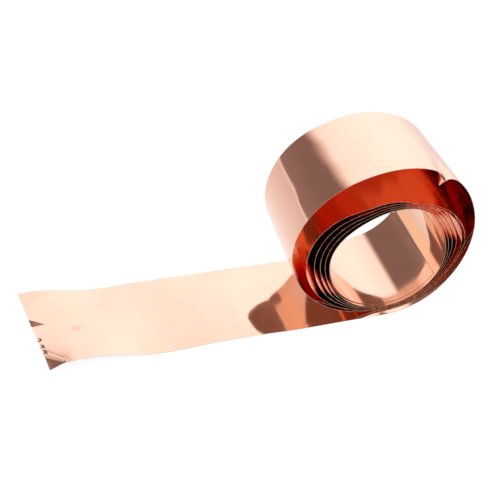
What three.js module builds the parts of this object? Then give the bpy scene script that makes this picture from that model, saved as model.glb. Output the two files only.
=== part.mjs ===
// A bare copper foil strip, about a metre of 30 mm stock, wound loosely on itself with no core.
// The outer end lies flat as a tail. The roll stands on its outermost turn, and the inner turns
// have sagged to its bottom and drifted sideways.
// Millimetres, +Z up. X runs along the tail (its free end at -X), Y along the roll's axis.

import * as THREE from "three";

// ---- Driving dimensions ----
const FOIL_WIDTH = 30;
const FOIL_THICKNESS = 0.1;
const ROLL_RADIUS = 25.5; // the outermost turn, on the foil's middle surface
const INNER_TURNS = 6;
const LAYER_PITCH = 0.2; // from one layer to the next where they lie on each other at the bottom
const STRETCH_GAP = 0.3; // left along the strip between two named stretches
const TURN_STEPS = 72;

// ---- The outermost turn: lobes that take it out of round, as shares of its radius ----
const LOBES = [
  { count: 2, cos: -0.0186, sin: 0.0039 },
  { count: 3, cos: 0.0112, sin: 0.0178 },
];
const LOWEST_ANGLE = 0.0621; // its lowest line, in radians from straight below its centre
const FIRST_LAP = 0.55; // the share of the turn after which it climbs onto the tail

// ---- The inner turns: the first one sags away from the outermost, less at its far edge ----
const SAG_NEAR = { depth: 11.7, rise: { from: 0.205, to: 0.41 }, fall: { from: 0.53, to: 0.92 } };
const SAG_FAR = { depth: 4.5, rise: { from: 0.26, to: 0.5 }, fall: { from: 0.66, to: 0.98 } };
const SAG_POWER = 1.4; // above 1, it sets in gently
const DRIFTS = [ // sideways, towards the far edge, between two turn counts
  { distance: 2.3, from: 0.82, to: 1.02 },
  { distance: 0.9, from: 6.2, to: 6.9 },
];

// ---- The innermost turn: nearly a round spiral, so that it can wind up inside the others ----
// Its centre's x is from straight below the outermost turn's centre; its far edge stands off the
// turns below it by its lift.
const CORE_NEAR = { radius: 17, x: 2.54, lift: 0 };
const CORE_FAR = { radius: 18.75, x: 0.4, lift: 1.3 };
const CORE_LOBE = { height: 0.85, count: 3, at: 150, from: 75, to: 135 }; // degrees, from its bottom
const TO_CORE = { from: 1.9, power: 0.72, onset: 0.1 }; // the turns between grow into its shape
const LEAF_SHARE = 0.125; // of another turn, added by the strip's inner end

// ---- The tail, measured from the roll's lowest line ----
const TAIL_ROOT = 28; // flat stretch that stays with the outermost turn
const TAIL_STRETCHES = 5;
const TAIL_STRETCH = 14;
const TAIL_NEAR_EDGE = 95;
const TAIL_FAR_EDGE = 103; // the cut is slanted
const CURL = { height: 2.6, from: 52, to: 90 };
const TAIL_STEPS = 6;

const { clamp, degToRad, lerp, radToDeg, smoothstep, smootherstep } = THREE.MathUtils;

/** The outermost turn's radius at an angle from straight below its centre. */
function outerRadius(angle) {
  const share = (sum, { count, cos, sin }) => (
    sum + cos * Math.cos(count * angle) + sin * Math.sin(count * angle)
  );
  return ROLL_RADIUS * LOBES.reduce(share, 1);
}

const middle = FOIL_THICKNESS / 2;
const outerCentreZ = middle + outerRadius(LOWEST_ANGLE) * Math.cos(LOWEST_ANGLE);
const lowestX = outerRadius(LOWEST_ANGLE) * Math.sin(LOWEST_ANGLE);
const coreBottom = middle + LAYER_PITCH * INNER_TURNS;

/** How far the first inner turns lie inside the outermost one, at an edge: -1 near, +1 far. */
function standoff(turn, edge) {
  if (turn < 1) {
    return LAYER_PITCH * smoothstep(turn, FIRST_LAP, 1);
  }
  const { depth, rise, fall } = edge < 0 ? SAG_NEAR : SAG_FAR;
  const part = turn - Math.floor(turn);
  const along = clamp((part - rise.from) / (rise.to - rise.from), 0, 1);
  const risen = Math.sin((Math.PI / 2) * along ** SAG_POWER);
  return LAYER_PITCH * turn + depth * risen * (1 - smoothstep(part, fall.from, fall.to));
}

/** From the outermost turn's centre to the innermost turn, along a ray at an angle. */
function coreReach(angle, turn, edge) {
  const { radius: plain, x, lift } = edge < 0 ? CORE_NEAR : CORE_FAR;
  const z = coreBottom + lift + plain - outerCentreZ;
  const along = x * Math.sin(angle) - z * Math.cos(angle);
  const off = x ** 2 + z ** 2 - along ** 2;
  const radius = plain - LAYER_PITCH * (turn - INNER_TURNS);
  const reach = along + Math.sqrt(radius ** 2 - off);
  // The core's own angle at that place gives how far its lobe takes it out of round.
  const own = radToDeg(Math.atan2(reach * Math.sin(angle) - x, reach * Math.cos(angle) + z));
  const wave = Math.cos(degToRad(CORE_LOBE.count * (own - CORE_LOBE.at)));
  const lobe = CORE_LOBE.height * wave * smoothstep(Math.abs(own), CORE_LOBE.from, CORE_LOBE.to);
  return along + Math.sqrt((radius + lobe) ** 2 - off);
}

/** How far a turn has taken on the innermost turn's shape. */
function coreShare(turn) {
  const along = clamp((turn - TO_CORE.from) / (INNER_TURNS - TO_CORE.from), 0, 1);
  return along ** TO_CORE.power * smoothstep(along, 0, TO_CORE.onset);
}

/** An edge's middle line in the XZ plane. Whole turn counts are at the bottom of the roll. */
function turnPoint(turn, edge) {
  const angle = 2 * Math.PI * turn + LOWEST_ANGLE;
  const loose = outerRadius(angle) - standoff(turn, edge);
  const reach = lerp(loose, coreReach(angle, turn, edge), coreShare(turn));
  return new THREE.Vector2(reach * Math.sin(angle), outerCentreZ - reach * Math.cos(angle));
}

/** How far the strip's edges have drifted towards +Y. */
function turnDrift(turn) {
  return DRIFTS.reduce((sum, { distance, from, to }) => sum + distance * smoothstep(turn, from, to), 0);
}

/** The tail's middle line at a distance from the roll's lowest line. */
function tailPoint(distance) {
  const lift = CURL.height * smootherstep(distance, CURL.from, CURL.to);
  return new THREE.Vector2(lowestX - distance, middle + lift);
}

/** A point half the foil's thickness to the left (+1) or right (-1) of an edge's line. */
function facePoint(line, at, side, edge) {
  const step = 1e-3;
  const tangent = line(at + step, edge).sub(line(at - step, edge)).normalize();
  const normal = new THREE.Vector2(-tangent.y, tangent.x);
  return line(at, edge).addScaledVector(normal, (side * FOIL_THICKNESS) / 2);
}

/**
 * A closed band of foil along a line, from one place on it to another.
 * farTo differs from to where the end is cut at a slant; drift moves the edges along Y.
 */
function foilBand(line, from, to, steps, { farTo = to, drift = () => 0 } = {}) {
  const positions = [];
  for (let i = 0; i <= steps; i++) {
    for (const [edge, end] of [[-1, to], [1, farTo]]) {
      const at = lerp(from, end, i / steps);
      for (const side of [1, -1]) {
        const point = facePoint(line, at, side, edge);
        positions.push(point.x, (edge * FOIL_WIDTH) / 2 + drift(at), point.y);
      }
    }
  }
  // A station's corners are near left, near right, far left and far right; ring goes round them.
  const ring = [0, 1, 3, 2];
  const faces = [];
  const addQuad = (a, b, c, d) => faces.push(a, b, c, a, c, d);
  for (let i = 0; i < steps; i++) {
    const here = 4 * i;
    const next = here + 4;
    ring.forEach((corner, k) => {
      const following = ring[(k + 1) % 4];
      const quad = [here + corner, here + following, next + following, next + corner];
      // Both broad faces are split along the same diagonal, so that a twist keeps them parallel.
      addQuad(...(k === 3 ? quad : [...quad.slice(1), quad[0]]));
    });
  }
  const last = 4 * steps;
  addQuad(ring[3], ring[2], ring[1], ring[0]);
  addQuad(last + ring[0], last + ring[1], last + ring[2], last + ring[3]);
  const geometry = new THREE.BufferGeometry();
  geometry.setAttribute("position", new THREE.Float32BufferAttribute(positions, 3));
  geometry.setIndex(faces);
  geometry.computeVertexNormals();
  return geometry;
}

function foilMesh(name, geometry) {
  const copper = new THREE.MeshStandardMaterial({ color: 0xf2b08e, roughness: 0.12, metalness: 1 });
  const mesh = new THREE.Mesh(geometry, copper);
  mesh.name = name;
  return mesh;
}

/** The flat root of the tail and its bending stretches, out to the slanted cut. */
function makeTail() {
  const tail = new THREE.Group();
  const half = STRETCH_GAP / 2;
  tail.add(foilMesh("tail_root", foilBand(tailPoint, half, TAIL_ROOT - half, 1)));
  for (let i = 1; i < TAIL_STRETCHES; i++) {
    const from = TAIL_ROOT + (i - 1) * TAIL_STRETCH + half;
    const band = foilBand(tailPoint, from, from + TAIL_STRETCH - STRETCH_GAP, TAIL_STEPS);
    tail.add(foilMesh(`tail_stretch_${i}`, band));
  }
  const endFrom = TAIL_ROOT + (TAIL_STRETCHES - 1) * TAIL_STRETCH + half;
  const cut = { farTo: TAIL_FAR_EDGE };
  tail.add(foilMesh("tail_end", foilBand(tailPoint, endFrom, TAIL_NEAR_EDGE, TAIL_STEPS, cut)));
  return tail;
}

/** The outermost turn, the inner turns and the leaf at the strip's inner end. */
function makeTurns() {
  const turns = new THREE.Group();
  const drift = { drift: turnDrift };
  const half = (turn) => STRETCH_GAP / 2 / (2 * Math.PI * (turn < 2 ? ROLL_RADIUS : CORE_NEAR.radius));
  for (let turn = 0; turn <= INNER_TURNS; turn++) {
    const name = turn === 0 ? "outer_turn" : `inner_turn_${turn}`;
    const from = turn + half(turn);
    turns.add(foilMesh(name, foilBand(turnPoint, from, turn + 1 - half(turn), TURN_STEPS, drift)));
  }
  const end = INNER_TURNS + 1;
  const steps = Math.round(TURN_STEPS * LEAF_SHARE);
  const leaf = foilBand(turnPoint, end + half(end), end + LEAF_SHARE, steps, drift);
  turns.add(foilMesh("inner_end_leaf", leaf));
  return turns;
}

const roll = new THREE.Group();
roll.add(makeTail(), makeTurns());

// The origin is under the middle of the whole strip's box, on the surface that it rests on.
const box = new THREE.Box3().setFromObject(roll, true);
const centre = box.getCenter(new THREE.Vector3());
roll.position.set(-centre.x, -centre.y, -box.min.z);

export default roll;
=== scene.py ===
"""Looks of the bare copper foil strip wound on itself: one continuous sheet surface, cut into
pieces at the frame's joints. Lengths in the formulas are millimetres; meshes are in metres."""
import math

import bpy
import numpy as np
from mathutils import Matrix, Vector


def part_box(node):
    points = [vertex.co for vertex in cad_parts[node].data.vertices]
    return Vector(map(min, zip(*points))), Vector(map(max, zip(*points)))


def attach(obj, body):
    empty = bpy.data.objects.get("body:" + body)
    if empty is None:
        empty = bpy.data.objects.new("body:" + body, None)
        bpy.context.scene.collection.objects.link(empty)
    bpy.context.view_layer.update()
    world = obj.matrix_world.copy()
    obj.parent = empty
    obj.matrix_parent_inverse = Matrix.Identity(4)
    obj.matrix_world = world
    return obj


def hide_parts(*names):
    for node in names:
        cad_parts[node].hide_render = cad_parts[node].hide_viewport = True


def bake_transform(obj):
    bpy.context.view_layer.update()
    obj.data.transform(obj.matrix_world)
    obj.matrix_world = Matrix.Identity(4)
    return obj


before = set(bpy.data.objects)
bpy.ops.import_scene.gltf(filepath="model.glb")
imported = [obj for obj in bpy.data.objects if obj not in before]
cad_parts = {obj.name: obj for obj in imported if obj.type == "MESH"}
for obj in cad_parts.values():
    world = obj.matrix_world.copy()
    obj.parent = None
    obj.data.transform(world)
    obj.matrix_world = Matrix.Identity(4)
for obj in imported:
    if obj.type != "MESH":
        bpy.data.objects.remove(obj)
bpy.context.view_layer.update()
scene = bpy.context.scene
MM = 0.001

# ---- The strip, as the frame has it ----
WIDTH = 30.0
THICKNESS = 0.1
ROLL_RADIUS = 25.5
INNER_TURNS = 6
PITCH = 0.2
LOBES = ((2, -0.0186, 0.0039), (3, 0.0112, 0.0178))
LOWEST_ANGLE = 0.0621
FIRST_LAP = 0.55
SAG_NEAR, SAG_FAR, SAG_POWER = 11.7, 4.5, 1.4
SAG_RISE_NEAR, SAG_RISE_FAR = (0.205, 0.41), (0.26, 0.50)
SAG_FALL_NEAR, SAG_FALL_FAR = (0.53, 0.92), (0.66, 0.98)
DRIFTS = ((2.3, 0.82, 1.02), (0.9, 6.2, 6.9))
TO_CORE_FROM, TO_CORE_POWER, TO_CORE_SOFT = 1.9, 0.72, 0.1
CORE_NEAR, CORE_FAR = 17.0, 18.75
CORE_NEAR_X, CORE_FAR_X, CORE_FAR_LIFT = 2.54, 0.4, 1.3
CORE_LOBE, CORE_LOBE_COUNT, CORE_LOBE_AT, CORE_LOBE_RANGE = 0.85, 3, 150.0, (75.0, 135.0)
LEAF_END = 7.125
HINGE_FIRST, HINGE_STEP, HINGES = 28.0, 14.0, 5
CUT_MIDDLE, CUT_SLANT = 98.99, 4.0 / 15.0
HALF_GAP = 0.15  # the frame's stretches each end this far short of where they would meet

# A place along the strip is a count q of turns from the roll's lowest line, and negative on the
# tail, where a count of one is ARC millimetres. A place across it is y, from -HALF to HALF.
ARC = 2 * math.pi * ROLL_RADIUS
HALF = WIDTH / 2

# ---- Dents, ripples and damage; d is the distance out along the tail ----
TURN_BENDS = dict(seed=3, count=7, along=(11, 34), across=(60, 260), size=0.022)
TURN_DENTS = dict(seed=5, count=9, along=(6, 13), across=(9, 26), size=0.0045)
TAIL_BENDS = dict(seed=11, count=6, along=(16, 40), across=(50, 200), size=0.035)
TAIL_DENTS = dict(seed=12, count=10, along=(7, 16), across=(10, 30), size=0.007)
TURN_FREE = (0.03, 0.16)  # dents set in between these parts of a turn from its bottom
INNER_CALM, INNER_FROM = 0.65, (0.95, 1.05)  # how much weaker dents are in the inner turns
OUTER_INSET = 0.12  # keeps the outermost turn's dents inside its plain line
TAIL_FREE, TAIL_INSET = (4, 30), 0.09  # the tail's ripples set in between these distances
# The tail's height climbs and falls in steps along each edge: height, from d, to d.
FAR_STEPS = ((0.45, 10, 26), (0.4, 27, 42), (0.3, 46, 60), (2.9, 79, 99))
NEAR_STEPS = ((0.55, 27, 42), (-0.55, 46, 64), (3.05, 64, 84), (-0.9, 86, 98))
BULGE, BULGE_RISE, BULGE_FALL = 0.9, (31, 43), (50, 66)
# The pinch in the outermost turn's near edge; it fades along the strip and away from the edge.
CRIMP_AT, CRIMP_TURNS = 0.394, (0.3, 0.5)
CRIMP_DEPTH, CRIMP_SPREAD, CRIMP_ROUND = 3.5, 1.0, (0.06, 0.25)
CRIMP_REACH, CRIMP_FADE = 3.6, 1.4
# The cone opens from its tip towards the cut, between two flanks, with a rib on the near one.
CONE_TIP, CONE_TIP_Y, CONE_TURN = 95.6, 0.9, 0.2
CONE_SLOPE, CONE_FAR_FLANK, CONE_NEAR_FLANK = 0.2, 0.42, 0.35
RIB_SLOPE, RIB_TURN, RIB_WIDTH, RIB_LENGTH = 0.07, 0.28, 0.16, 1.5
# A fold runs from d, y to d, y.
CORNER_FOLD, CORNER_SLOPE, CORNER_ROUND = (91.1, -14.7, 95.6, -11.8), 0.62, 0.15
FAINT_FOLD, FAINT_DEPTH, FAINT_WIDTH = (91.4, -12.7, 96.4, -8.6), 0.012, 0.35
# Each notch has a y at the cut and a size.
NOTCHES, NOTCH_WIDTH, NOTCH_REACH = ((-4.7, 0.5), (-7.3, 0.4), (-9.6, 0.4)), 0.45, 1.1


def smooth(x, a, b):
    """0 up to a, 1 from b, and a smooth climb between them."""
    u = np.clip((np.asarray(x, float) - a) / (b - a), 0, 1)
    return u * u * (3 - 2 * u)


def outer_radius(angle):
    """The outermost turn's radius at an angle from straight below its centre."""
    shape = 1 + sum(c * np.cos(n * angle) + s * np.sin(n * angle) for n, c, s in LOBES)
    return ROLL_RADIUS * shape


MIDDLE = THICKNESS / 2
OUTER_Z = MIDDLE + float(outer_radius(LOWEST_ANGLE)) * math.cos(LOWEST_ANGLE)
LOWEST_X = float(outer_radius(LOWEST_ANGLE)) * math.sin(LOWEST_ANGLE)
CORE_BOTTOM = MIDDLE + PITCH * INNER_TURNS

# The frame's tail root gives where the lowest line and the strip's middle lie in the row frame.
root_low, root_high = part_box("tail_root")
ORIGIN_X = root_high.x / MM + HALF_GAP - LOWEST_X
ORIGIN_Y = (root_low.y + root_high.y) / 2 / MM


def standoff(t, y):
    """How far the first inner turns lie inside the outermost one."""
    part = t - np.floor(t)
    share = (y + HALF) / WIDTH
    sag = SAG_NEAR + (SAG_FAR - SAG_NEAR) * share
    rise_from, rise_to, fall_from, fall_to = (
        near + (far - near) * share
        for near, far in zip(SAG_RISE_NEAR + SAG_FALL_NEAR, SAG_RISE_FAR + SAG_FALL_FAR))
    rise = (part - rise_from) / (rise_to - rise_from)
    rise = np.sin(math.pi / 2 * np.clip(rise, 0, 1) ** SAG_POWER)
    sag = sag * rise * (1 - smooth(part, fall_from, fall_to))
    return np.where(t < 1, PITCH * smooth(t, FIRST_LAP, 1), PITCH * t + sag)


def core_reach(angle, t, y):
    """From the outermost turn's centre to the innermost turn, along a ray at an angle."""
    share = (y + HALF) / WIDTH
    plain = CORE_NEAR + (CORE_FAR - CORE_NEAR) * share
    centre_z = CORE_BOTTOM + CORE_FAR_LIFT * share + plain - OUTER_Z
    centre_x = CORE_NEAR_X + (CORE_FAR_X - CORE_NEAR_X) * share
    along = centre_x * np.sin(angle) - centre_z * np.cos(angle)
    off = centre_x ** 2 + centre_z ** 2 - along ** 2
    radius = plain - PITCH * (t - INNER_TURNS)
    reach = along + np.sqrt(np.maximum(radius ** 2 - off, 1))
    # The core's own angle at that place gives how far its lobe takes it out of round.
    x, z = reach * np.sin(angle) - centre_x, -reach * np.cos(angle) - centre_z
    own = np.degrees(np.arctan2(x, -z))
    lobe = CORE_LOBE * np.cos(np.radians(CORE_LOBE_COUNT * (own - CORE_LOBE_AT)))
    lobe = lobe * smooth(np.abs(own), *CORE_LOBE_RANGE)
    return along + np.sqrt(np.maximum((radius + lobe) ** 2 - off, 1))


def drift(q):
    """How far the strip has drifted towards +Y."""
    return sum(size * smooth(q, start, end) for size, start, end in DRIFTS)


def line(q, y=-HALF):
    """The strip's middle surface at a place across it, X and Z, before any dents."""
    q = np.asarray(q, float)
    t = np.maximum(q, 0)
    angle = 2 * math.pi * t + LOWEST_ANGLE
    to_core = np.clip((t - TO_CORE_FROM) / (INNER_TURNS - TO_CORE_FROM), 0, 1)
    to_core = to_core ** TO_CORE_POWER * smooth(to_core, 0, TO_CORE_SOFT)
    loose = outer_radius(angle) - standoff(t, y)
    reach = loose * (1 - to_core) + core_reach(angle, t, y) * to_core
    x = np.where(q < 0, LOWEST_X + q * ARC, reach * np.sin(angle))
    z = np.where(q < 0, MIDDLE, OUTER_Z - reach * np.cos(angle))
    return x, z


def waves(seed, count, along, across, size):
    """Seeded gentle waves: along and across are wavelength ranges, size is the largest height."""
    rng = np.random.default_rng(seed)
    turn = 2 * math.pi
    rows = []
    for _ in range(count):
        k_along = turn / rng.uniform(*along)
        k_across = rng.choice((-1, 1)) * turn / rng.uniform(*across)
        phase = rng.uniform(0, turn)
        rows.append((k_along, k_across, phase, size * rng.uniform(0.5, 1)))

    def height(s, y):
        return sum(a * np.sin(ks * s + ky * y + p) for ks, ky, p, a in rows)
    return height


turn_bends = waves(**TURN_BENDS)
turn_dents = waves(**TURN_DENTS)
tail_bends = waves(**TAIL_BENDS)
tail_dents = waves(**TAIL_DENTS)


def tail_height(d, y):
    """The free tail stands a little off the table: low ripples, then it curls up to the cut."""
    bulge = BULGE * smooth(d, *BULGE_RISE) * (1 - smooth(d, *BULGE_FALL)) * (1 - (y / HALF) ** 2)
    far, near = (sum(height * smooth(d, start, end) for height, start, end in steps)
                 for steps in (FAR_STEPS, NEAR_STEPS))
    share = (y + HALF) / WIDTH
    return far * share + near * (1 - share) + bulge


def fold_side(d, y, d0, y0, d1, y1):
    """How far a place lies beyond the line from one place to another, on the corner's side."""
    return ((d - d0) * (y1 - y0) - (y - y0) * (d1 - d0)) / math.hypot(d1 - d0, y1 - y0)


def crumple(d, y):
    """Damage at the cut: a small creased cone by the middle and the near corner bent down."""
    along = d - CONE_TIP
    off = y - CONE_TIP_Y - CONE_TURN * along
    inside = np.maximum(along, 0)
    flank = np.where(off > 0, CONE_FAR_FLANK, CONE_NEAR_FLANK)
    cone = np.maximum(0, 1 - np.abs(off) / np.maximum(flank * along, 1e-6)) * inside
    rib = np.exp(-((off + RIB_TURN * inside) / RIB_WIDTH) ** 2) * np.minimum(inside, RIB_LENGTH)
    # The corner lies beyond a fold across it, from the near edge to the cut, beside a fainter one.
    beyond = np.maximum(fold_side(d, y, *CORNER_FOLD), 0)
    corner = np.sqrt(beyond ** 2 + CORNER_ROUND ** 2) - CORNER_ROUND
    groove = FAINT_DEPTH * np.exp(-(fold_side(d, y, *FAINT_FOLD) / FAINT_WIDTH) ** 2)
    at_cut = np.maximum(0, d - (CUT_MIDDLE + CUT_SLANT * y) + NOTCH_REACH)
    notches = sum(size * np.exp(-((y - at) / NOTCH_WIDTH) ** 2) for at, size in NOTCHES) * at_cut
    return RIB_SLOPE * rib - CONE_SLOPE * cone - CORNER_SLOPE * corner - groove - notches


def relief(q, y):
    """How far the surface stands inside the plain line."""
    s = q * ARC
    d = -s
    lift = tail_height(d, y) + crumple(d, y)
    ripples = smooth(d, *TAIL_FREE) * (tail_bends(s, y) + tail_dents(s, y) + TAIL_INSET)
    tail = np.maximum(lift + ripples, 0)
    free = smooth(np.abs(q - np.round(q)), *TURN_FREE)
    inner = smooth(q, *INNER_FROM)
    dents = (1 - INNER_CALM * inner) * (turn_bends(s, y) + turn_dents(s, y))
    turn = free * (dents + OUTER_INSET * (1 - inner))
    off = s - CRIMP_AT * ARC
    soft, tip = CRIMP_ROUND
    pinch = np.exp(-(np.sqrt(off ** 2 + soft) - tip) / CRIMP_SPREAD)
    depth = np.exp(-(np.maximum(y + HALF, 0) / CRIMP_REACH) ** CRIMP_FADE)
    near_crimp = (q > CRIMP_TURNS[0]) & (q < CRIMP_TURNS[1])
    crimp = np.where(near_crimp, CRIMP_DEPTH * pinch * depth, 0)
    return np.where(q < 0, tail, turn + crimp)


LINE_STEP = 2e-5  # turns, for the line's direction
NORMAL_STEP_ALONG, NORMAL_STEP_ACROSS = 4e-5, 6e-3  # turns and mm, for the surface's normals
UV_UNIT = 100  # mm of strip to one unit of its UV map


def surface(q, y):
    """Where a place on the strip lies, with its relief, before the move to the row frame."""
    x0, z0 = line(q - LINE_STEP, y)
    x1, z1 = line(q + LINE_STEP, y)
    tx, tz = x1 - x0, z1 - z0
    length = np.hypot(tx, tz)
    x, z = line(q, y)
    w = relief(q, y)
    return np.stack([x - tz / length * w, y + drift(q), z + tx / length * w], -1)


def unit(v):
    return v / np.linalg.norm(v, axis=-1, keepdims=True)


def slab(name, q, y, material):
    """A closed thin sheet over a grid of places, with the surface's own normals on both faces."""
    n, m = q.shape
    points = surface(q, y)
    step = NORMAL_STEP_ALONG
    along = unit(surface(q + step, y) - surface(q - step, y))
    step = NORMAL_STEP_ACROSS
    across = unit(surface(q, y + step) - surface(q, y - step))
    normal = unit(np.cross(along, across))
    grid = np.arange(n * m).reshape(n, m)
    top = points + normal * THICKNESS / 2
    bottom = points - normal * THICKNESS / 2
    co = np.concatenate([top.reshape(-1, 3), bottom.reshape(-1, 3)])
    # Nothing stands past the frame's box or under the table.
    co[:, 1] = np.clip(co[:, 1], -HALF, HALF + sum(size for size, *_ in DRIFTS))
    co[:, 2] = np.maximum(co[:, 2], 0)
    co += np.array([ORIGIN_X, ORIGIN_Y, 0])
    co *= MM
    under = grid + n * m
    flat_normal = normal.reshape(-1, 3)
    flat_along = along.reshape(-1, 3)
    flat_side = np.cross(flat_normal, flat_along)

    def quads(a, b, c, d):
        return np.stack([a, b, c, d], -1).reshape(-1, 4)

    # The two broad faces, the near and far edges, and the two ends: faces, normals and their sign.
    parts = [
        (quads(grid[:-1, :-1], grid[1:, :-1], grid[1:, 1:], grid[:-1, 1:]), flat_normal, 1),
        (quads(under[:-1, :-1], under[:-1, 1:], under[1:, 1:], under[1:, :-1]), flat_normal, -1),
        (quads(grid[:-1, 0], under[:-1, 0], under[1:, 0], grid[1:, 0]), flat_side, -1),
        (quads(grid[:-1, -1], grid[1:, -1], under[1:, -1], under[:-1, -1]), flat_side, 1),
        (quads(grid[0, :-1], grid[0, 1:], under[0, 1:], under[0, :-1]), flat_along, -1),
        (quads(grid[-1, :-1], under[-1, :-1], under[-1, 1:], grid[-1, 1:]), flat_along, 1),
    ]
    faces = np.concatenate([p[0] for p in parts])
    normals = np.concatenate([sign * source[face.reshape(-1) % (n * m)]
                              for face, source, sign in parts])
    mesh = bpy.data.meshes.new(name)
    mesh.from_pydata(co.tolist(), [], faces.tolist())
    uv = np.stack([q * ARC, y], -1).reshape(-1, 2) / UV_UNIT
    layer = mesh.uv_layers.new(name="Strip")
    layer.data.foreach_set("uv", uv[faces.reshape(-1) % (n * m)].astype(np.float32).ravel())
    mesh.polygons.foreach_set("use_smooth", np.ones(len(faces), bool))
    mesh.normals_split_custom_set([tuple(v) for v in normals.tolist()])
    mesh.materials.append(material)
    mesh.materials.append(edge_copper)
    broad_faces = 2 * (n - 1) * (m - 1)
    is_edge = np.arange(len(faces)) >= broad_faces
    mesh.polygons.foreach_set("material_index", is_edge.astype(np.int32))
    piece = bpy.data.objects.new(name, mesh)
    scene.collection.objects.link(piece)
    return piece


def band(name, start, end, step, material, rows=25, extra=()):
    """A stretch of strip between two places, with a station every step mm and at extra places."""
    count = max(2, int(round((end - start) * ARC / step)) + 1)
    stations = np.concatenate([np.linspace(start, end, count), np.asarray(extra, float)])
    stations = np.unique(stations)
    across = np.linspace(-HALF, HALF, rows) if isinstance(rows, int) else rows
    q, y = np.meshgrid(stations, across, indexing="ij")
    return slab(name, q, y, material)


# ---- Copper ----
BRIGHT_COPPER = (0.93, 0.615, 0.475)
WARM_COPPER = (0.92, 0.575, 0.420)
STAINED_COPPER = (0.76, 0.45, 0.30)
STAIN_AT, STAIN_RADII = (-0.869, -0.023, 0), (0.008, 0.02)  # on the strip's map
POLISH = (0.055, 0.12)  # roughness
EDGE_DARK, EDGE_LIGHT = (0.42, 0.23, 0.165, 1), (0.86, 0.56, 0.43, 1)
EDGE_GRAIN, EDGE_ROUGHNESS = 900, 0.35


def node(tree, kind, **values):
    made = tree.nodes.new(kind)
    for key, value in values.items():
        setattr(made, key, value)
    return made


def math_node(tree, kind, *values):
    """A Math node's output; each value is a number or another node's output."""
    made = node(tree, "ShaderNodeMath", operation=kind)
    for socket, value in zip(made.inputs, values):
        if isinstance(value, (int, float)):
            socket.default_value = value
        else:
            tree.links.new(value, socket)
    return made.outputs[0]


def make_copper():
    """Polished foil: clouds of warmer copper, faint smears, fine rolling lines and one stain."""
    material = bpy.data.materials.new("polished_copper_foil")
    material.use_nodes = True
    tree = material.node_tree
    shader = tree.nodes["Principled BSDF"]
    shader.inputs["Metallic"].default_value = 1.0
    link = tree.links.new
    place = node(tree, "ShaderNodeTexCoord")

    def noise(scale, stretch, detail):
        """Noise over the strip's own map, stretched along or across it."""
        mapping = node(tree, "ShaderNodeMapping")
        mapping.inputs["Scale"].default_value = stretch
        texture = node(tree, "ShaderNodeTexNoise")
        texture.inputs["Scale"].default_value = scale
        texture.inputs["Detail"].default_value = detail
        link(place.outputs["UV"], mapping.inputs["Vector"])
        link(mapping.outputs["Vector"], texture.inputs["Vector"])
        return texture.outputs["Fac"]

    def remap(value, source, result):
        mapped = node(tree, "ShaderNodeMapRange")
        mapped.inputs["From Min"].default_value, mapped.inputs["From Max"].default_value = source
        mapped.inputs["To Min"].default_value, mapped.inputs["To Max"].default_value = result
        link(value, mapped.inputs["Value"])
        return mapped.outputs["Result"]

    def mix(factor, a, b):
        mixed = node(tree, "ShaderNodeMix", data_type="RGBA")
        link(factor, mixed.inputs[0])
        for socket, value in ((mixed.inputs[6], a), (mixed.inputs[7], b)):
            if isinstance(value, tuple):
                socket.default_value = (*value, 1)
            else:
                link(value, socket)
        return mixed.outputs[2]

    clouds = noise(scale=7, stretch=(1, 1.4, 1), detail=3)
    smears = noise(scale=22, stretch=(1, 2.2, 1), detail=2)
    rolling_lines = noise(scale=60, stretch=(0.02, 9, 1), detail=2)
    smudge = noise(scale=140, stretch=(1, 0.7, 1), detail=2)
    tone = mix(remap(clouds, (0.45, 0.72), (0, 0.55)), BRIGHT_COPPER, WARM_COPPER)
    spot = node(tree, "ShaderNodeVectorMath", operation="DISTANCE")
    link(place.outputs["UV"], spot.inputs[0])
    spot.inputs[1].default_value = STAIN_AT
    stain = math_node(tree, "MULTIPLY", remap(spot.outputs["Value"], STAIN_RADII, (1, 0)),
                      remap(smudge, (0.42, 0.6), (0.15, 1)))
    tone = mix(stain, tone, STAINED_COPPER)
    link(tone, shader.inputs["Base Color"])
    link(remap(smears, (0.35, 0.75), POLISH), shader.inputs["Roughness"])
    bump = node(tree, "ShaderNodeBump")
    bump.inputs["Strength"].default_value = 0.12
    bump.inputs["Distance"].default_value = 0.000008
    link(rolling_lines, bump.inputs["Height"])
    link(bump.outputs["Normal"], shader.inputs["Normal"])
    return material


def make_edge():
    """The slit edges: duller copper with a slight grain."""
    material = bpy.data.materials.new("slit_copper_edge")
    material.use_nodes = True
    tree = material.node_tree
    shader = tree.nodes["Principled BSDF"]
    shader.inputs["Metallic"].default_value = 1.0
    place = node(tree, "ShaderNodeTexCoord")
    texture = node(tree, "ShaderNodeTexNoise")
    texture.inputs["Scale"].default_value = EDGE_GRAIN
    tree.links.new(place.outputs["Object"], texture.inputs["Vector"])
    grain = node(tree, "ShaderNodeValToRGB")
    stops = ((EDGE_DARK, 0.35), (EDGE_LIGHT, 0.7))
    for element, (colour, position) in zip(grain.color_ramp.elements, stops):
        element.color = colour
        element.position = position
    tree.links.new(texture.outputs["Fac"], grain.inputs["Fac"])
    tree.links.new(grain.outputs["Color"], shader.inputs["Base Color"])
    shader.inputs["Roughness"].default_value = EDGE_ROUGHNESS
    return material


copper = make_copper()
edge_copper = make_edge()

# ---- The pieces ----
SEAM = 0.17  # the pieces that cross over between turns reach this far to each side of the bottom
TURN_STEP, INNER_STEP, FINE_STEP = 0.6, 0.7, 0.5
ROOT_END = HINGE_FIRST - HINGE_STEP / 2
LEAF_FROM, LEAF_HINGE, LEAF_FREE = 6.93, 7.0, 7.05
TAIL_ROWS = 41
CUT_STATIONS, CUT_ROWS = 61, 151


def carry(piece, body, *nodes):
    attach(piece, body)
    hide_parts(*nodes)


def bend(piece):
    """Bakes a piece's transform into its mesh; it does not bend the piece."""
    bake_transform(piece)


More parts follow.
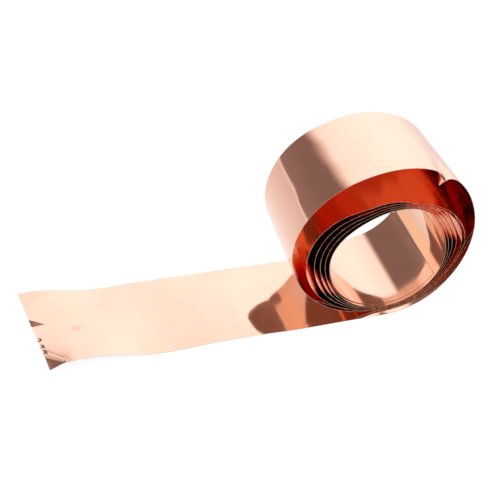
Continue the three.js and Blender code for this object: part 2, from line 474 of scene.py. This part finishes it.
# The outermost turn has closer rows and stations where its near edge is crimped.
near_band = -HALF + 8
rows = np.concatenate([np.linspace(-HALF, near_band, 25)[:-1], np.linspace(near_band, HALF, 19)])
places = CRIMP_AT + np.linspace(-5, 5, 61) / ARC
outer = band("foil_outer_turn", -ROOT_END / ARC, 1 - SEAM, TURN_STEP, copper, rows, places)
carry(outer, "root", "outer_turn", "tail_root")

chain = ["root"] + [f"coil_{k}" for k in range(1, INNER_TURNS)] + ["core"]
for k in range(1, INNER_TURNS + 1):
    over = band(f"foil_crossover_{k}", k - SEAM, k + SEAM, TURN_STEP, copper)
    bend(over)
    last = LEAF_FROM if k == INNER_TURNS else k + 1 - SEAM
    turn = band(f"foil_inner_turn_{k}", k + SEAM, last, INNER_STEP, copper)
    carry(turn, chain[k], f"inner_turn_{k}")

leaf_root = band("foil_leaf_root", LEAF_FROM, LEAF_FREE, FINE_STEP, copper)
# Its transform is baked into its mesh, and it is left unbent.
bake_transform(leaf_root)
leaf = band("foil_inner_end", LEAF_FREE, LEAF_END, FINE_STEP, copper)
carry(leaf, "inner_end", "inner_end_leaf")

for i in range(1, HINGES + 1):
    hinge = HINGE_FIRST + (i - 1) * HINGE_STEP
    far, near = -(hinge + HINGE_STEP / 2) / ARC, -(hinge - HINGE_STEP / 2) / ARC
    stretch = band(f"foil_tail_{i}", far, near, FINE_STEP, copper, TAIL_ROWS)
    bend(stretch)
    if i < HINGES:
        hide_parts(f"tail_stretch_{i}")

# The stations of the last piece close up towards the slanted cut.
end_from = HINGE_FIRST + (HINGES - 0.5) * HINGE_STEP
shares = np.linspace(0, 1, CUT_STATIONS)
share, y = np.meshgrid(shares, np.linspace(-HALF, HALF, CUT_ROWS), indexing="ij")
cut = CUT_MIDDLE + CUT_SLANT * y
end = slab("foil_tail_end", -(cut + (end_from - cut) * share) / ARC, y, copper)
carry(end, "tail_5", "tail_end")

# ---- The table: plain and pale, and left out of the foil's reflections ----
TABLE_REACH, TABLE_DROP = 3.0, 0.00002
corners = [(x * TABLE_REACH, y * TABLE_REACH, 0) for x, y in ((-1, -1), (1, -1), (1, 1), (-1, 1))]
floor_mesh = bpy.data.meshes.new("floor")
floor_mesh.from_pydata(corners, [], [(0, 1, 2, 3)])
floor = bpy.data.objects.new("floor", floor_mesh)
floor.location.z = -TABLE_DROP
floor.visible_glossy = False
scene.collection.objects.link(floor)
white = bpy.data.materials.new("white_table")
white.use_nodes = True
paper = white.node_tree.nodes["Principled BSDF"]
paper.inputs["Base Color"].default_value = (0.2, 0.2, 0.2, 1)
paper.inputs["Roughness"].default_value = 1.0
paper.inputs["Specular IOR Level"].default_value = 0.0
paper.inputs["Emission Color"].default_value = (1, 1, 1, 1)
paper.inputs["Emission Strength"].default_value = 0.92
floor_mesh.materials.append(white)

# ---- Light, by direction: azimuth from +Y towards +X, and elevation, in degrees ----
# A broad soft light behind and to the right, a dark side behind and to the left, a dimmer front,
# and a table that falls off to the left.
SOFTBOX_AT, SOFTBOX_TIGHTNESS, SOFTBOX_GAIN = (26, 31), 6, 0.32
SKY_LEVEL, FRONT_LOSS, FRONT_NORTH = 1.07, 0.45, (-0.35, -0.8)
LEFT_TABLE, LEFT_TABLE_SLOPE, LEFT_TABLE_MOST = 0.67, 0.0088, 1.05
RIGHT_TABLE, RIGHT_TABLE_SLOPE, RIGHT_TABLE_LEAST = 1.05, 0.012, 0.84
TABLE_TURN, HORIZON = (-12, 22), (-1.5, 2.5)
DARK_LEFT, DARK_RIGHT, DARK_FOOT, DARK_TOP = (-112, -96), (-23.5, -10.5), (1, 2.4), (72, 80)
DARK_LEVEL, DARK_LOW_GAIN, DARK_LOW = 0.17, 0.05, (2, 24)
BESIDE_COLOUR = (1.13, 0.83, 0.52)
BESIDE_RIGHT, BESIDE_LEFT, BESIDE_FOOT, BESIDE_TOP = (-42, -52), (-150, -130), (-32, -24), (-1.5, 1)
SEEN_WHITE = (1.1, 1.1, 1.1, 1)

world = bpy.data.worlds.new("studio")
scene.world = world
world.use_nodes = True
sky = world.node_tree
sky.nodes.clear()


def ramp(value, low, high):
    """0 at low, 1 at high, and smooth between them."""
    made = node(sky, "ShaderNodeMapRange", interpolation_type="SMOOTHSTEP")
    sky.links.new(value, made.inputs["Value"])
    made.inputs["From Min"].default_value = low
    made.inputs["From Max"].default_value = high
    return made.outputs["Result"]


def plus(a, b):
    return math_node(sky, "ADD", a, b)


def minus(a, b):
    return math_node(sky, "SUBTRACT", a, b)


def times(*values):
    product = values[0]
    for value in values[1:]:
        product = math_node(sky, "MULTIPLY", product, value)
    return product


def lerp(factor, a, b):
    return plus(a, times(factor, minus(b, a)))


direction = node(sky, "ShaderNodeTexCoord")
split = node(sky, "ShaderNodeSeparateXYZ")
sky.links.new(direction.outputs["Generated"], split.inputs[0])
east, north, height = split.outputs
azimuth = times(math_node(sky, "ARCTAN2", east, north), 180 / math.pi)
elevation = times(math_node(sky, "ARCSINE", height), 180 / math.pi)


def facing(az, el):
    """The cosine between a direction and the one at an azimuth and elevation."""
    a, e = math.radians(az), math.radians(el)
    toward = (math.sin(a) * math.cos(e), math.cos(a) * math.cos(e), math.sin(e))
    terms = [times(axis, value) for axis, value in zip((east, north, height), toward)]
    return plus(plus(terms[0], terms[1]), terms[2])


softbox = math_node(sky, "EXPONENT", times(SOFTBOX_TIGHTNESS, minus(facing(*SOFTBOX_AT), 1)))
above = plus(SKY_LEVEL, times(SOFTBOX_GAIN, softbox))
above = minus(above, times(ramp(north, *FRONT_NORTH), FRONT_LOSS))
below_left = minus(LEFT_TABLE, times(LEFT_TABLE_SLOPE, elevation))
below_left = math_node(sky, "MINIMUM", below_left, LEFT_TABLE_MOST)
below_right = plus(RIGHT_TABLE, times(RIGHT_TABLE_SLOPE, elevation))
below_right = math_node(sky, "MAXIMUM", below_right, RIGHT_TABLE_LEAST)
below = lerp(ramp(azimuth, *TABLE_TURN), below_left, below_right)
level = lerp(ramp(elevation, *HORIZON), below, above)
dark = times(ramp(azimuth, *DARK_LEFT), minus(1, ramp(azimuth, *DARK_RIGHT)),
             ramp(elevation, *DARK_FOOT), minus(1, ramp(elevation, *DARK_TOP)))
dark_level = plus(DARK_LEVEL, times(DARK_LOW_GAIN, minus(1, ramp(elevation, *DARK_LOW))))
level = lerp(dark, level, dark_level)

# Bright light is a little cool and dim light is warm.
red = times(level, math_node(sky, "MAXIMUM", 1.02, minus(1.55, times(0.55, level))))
blue = times(level, plus(0.9, times(0.11, level)))
# Low down on the far left the light is strong and orange, as it is beside a sheet of copper.
beside = times(ramp(azimuth, *BESIDE_RIGHT), ramp(azimuth, *BESIDE_LEFT),
               ramp(elevation, *BESIDE_FOOT), minus(1, ramp(elevation, *BESIDE_TOP)))
colour = node(sky, "ShaderNodeCombineXYZ")
for socket, channel, value in zip(colour.inputs, (red, level, blue), BESIDE_COLOUR):
    sky.links.new(lerp(beside, channel, value), socket)

# The camera sees plain white past the table's edge.
lit = node(sky, "ShaderNodeBackground")
sky.links.new(colour.outputs[0], lit.inputs["Color"])
seen = node(sky, "ShaderNodeBackground")
seen.inputs["Color"].default_value = SEEN_WHITE
rays = node(sky, "ShaderNodeLightPath")
either = node(sky, "ShaderNodeMixShader")
sky.links.new(rays.outputs["Is Camera Ray"], either.inputs[0])
sky.links.new(lit.outputs[0], either.inputs[1])
sky.links.new(seen.outputs[0], either.inputs[2])
output = node(sky, "ShaderNodeOutputWorld")
sky.links.new(either.outputs[0], output.inputs["Surface"])

# ---- Camera ----
CAMERA_AZIMUTH, CAMERA_ELEVATION, CAMERA_ROLL = -12.38, 38.86, -1.024
CAMERA_TARGET = Vector((3.615, -1.6, 19.426)) * MM
CAMERA_DISTANCE, CAMERA_LENS, SENSOR_WIDTH = 0.22193, 56.66, 36

a, e, r = (math.radians(angle) for angle in (CAMERA_AZIMUTH, CAMERA_ELEVATION, CAMERA_ROLL))
back = Vector((math.sin(a) * math.cos(e), -math.cos(a) * math.cos(e), math.sin(e)))
right = Vector((math.cos(a), math.sin(a), 0))
up = back.cross(right)
camera_x = right * math.cos(r) + up * math.sin(r)
camera_y = -right * math.sin(r) + up * math.cos(r)
camera_data = bpy.data.cameras.new("camera")
camera_data.lens = CAMERA_LENS
camera_data.sensor_width = SENSOR_WIDTH
camera_data.clip_start = 0.01
camera = bpy.data.objects.new("camera", camera_data)
placed = Matrix((camera_x, camera_y, back)).transposed().to_4x4()
placed.translation = CAMERA_TARGET + back * CAMERA_DISTANCE
camera.matrix_world = placed
scene.collection.objects.link(camera)
scene.camera = camera

# Light bounces many times between the layers before it comes out.
scene.view_settings.view_transform = "Standard"
scene.cycles.max_bounces = 24
scene.cycles.glossy_bounces = 24
scene.cycles.diffuse_bounces = 3
scene.cycles.caustics_reflective = False
